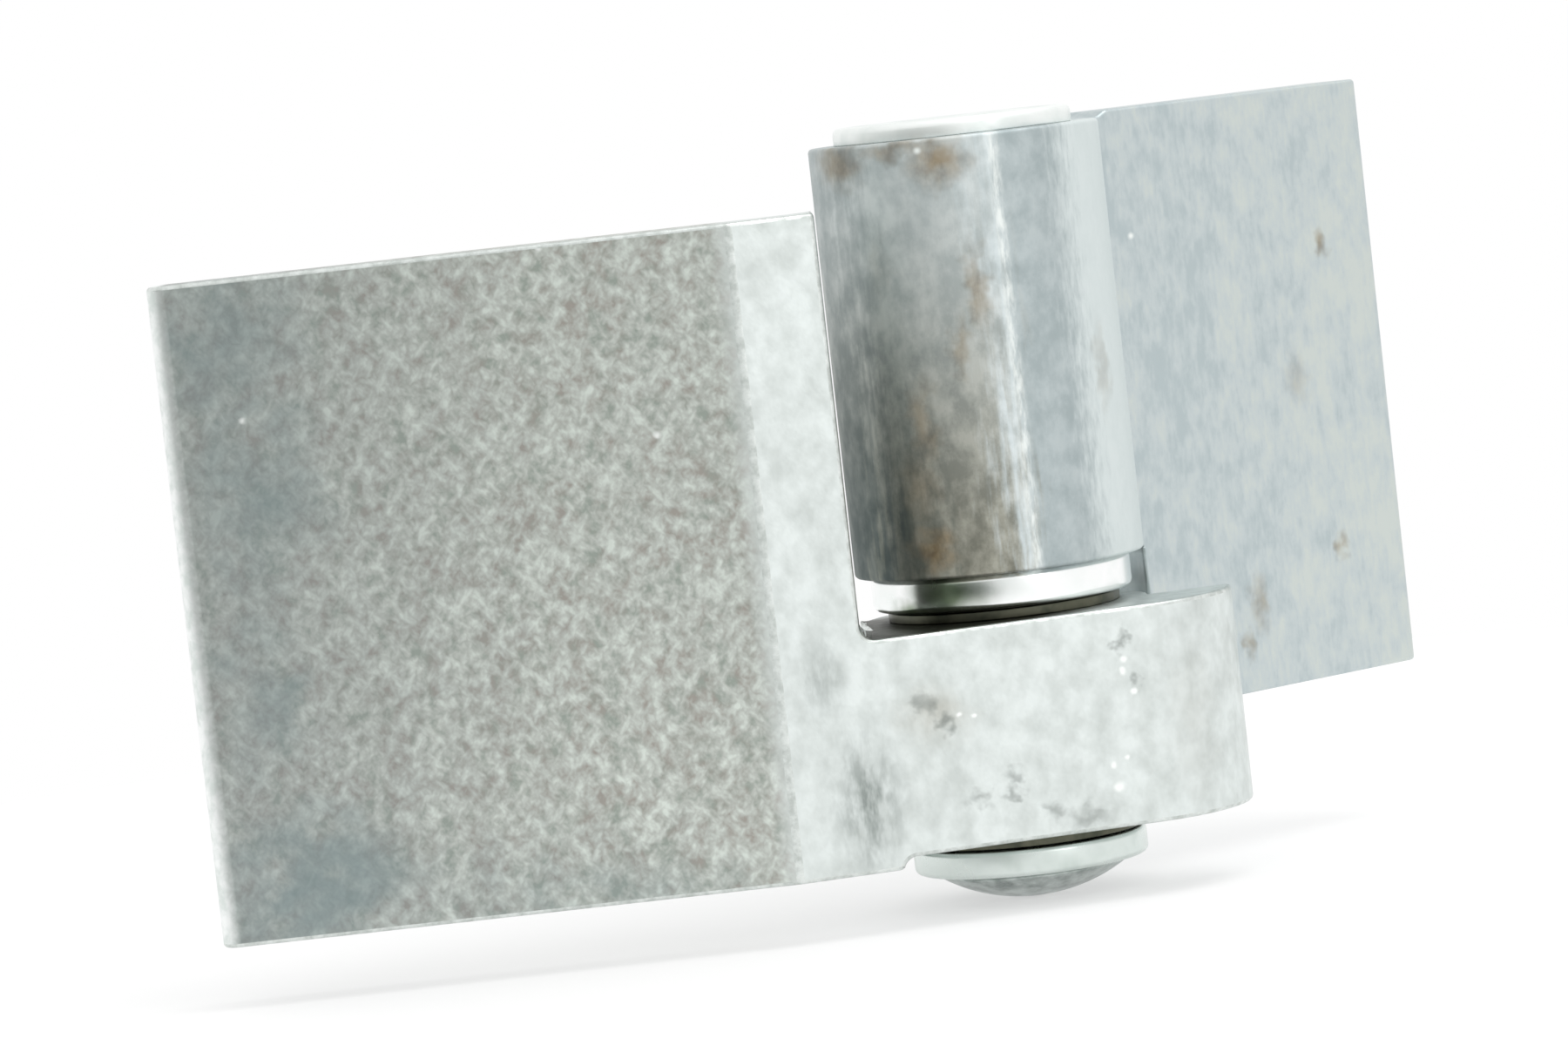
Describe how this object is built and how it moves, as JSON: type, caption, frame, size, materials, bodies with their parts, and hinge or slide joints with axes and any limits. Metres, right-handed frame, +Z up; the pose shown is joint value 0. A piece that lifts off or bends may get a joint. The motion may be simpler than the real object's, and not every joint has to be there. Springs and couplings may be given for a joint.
{
  "type": "car door hinge",
  "caption": "Weld-on car door hinge: a notched pillar leaf with a stop lug and a door leaf with a long barrel, turning on a pressed and peened pin.",
  "frame": {"origin": "middle of the pillar leaf's weld face, half way up the leaf", "axes": "+Z up along the hinge pin as on the car, -Y out of the pillar leaf's weld face, +X from the pillar leaf towards the pin and the door leaf"},
  "size_m": [0.0848, 0.0395, 0.0541],
  "materials": {
    "pillar_steel": "bare rolled steel, dull and mottled",
    "door_steel": "bare rolled steel with light rust",
    "pin_steel": "bare turned steel",
    "ring_steel": "polished steel",
    "bush_bronze": "dark oiled bronze",
    "washer_steel": "bright steel"
  },
  "bodies": {
    "pillar_half": {"pillar_leaf": "pillar_steel", "upper_bush": "bush_bronze", "lower_bush": "bush_bronze"},
    "door_half": {"door_leaf": "door_steel", "hinge_pin": "pin_steel", "thrust_ring": "ring_steel", "rivet_washer": "washer_steel"}
  },
  "joints": [
    {"name": "door_swing", "type": "hinge", "parent": "pillar_half", "child": "door_half", "pos_m": [0.0355, 0.01401, 0], "axis": [0, 0, 1], "range_deg": [-28, 140]}
  ]
}
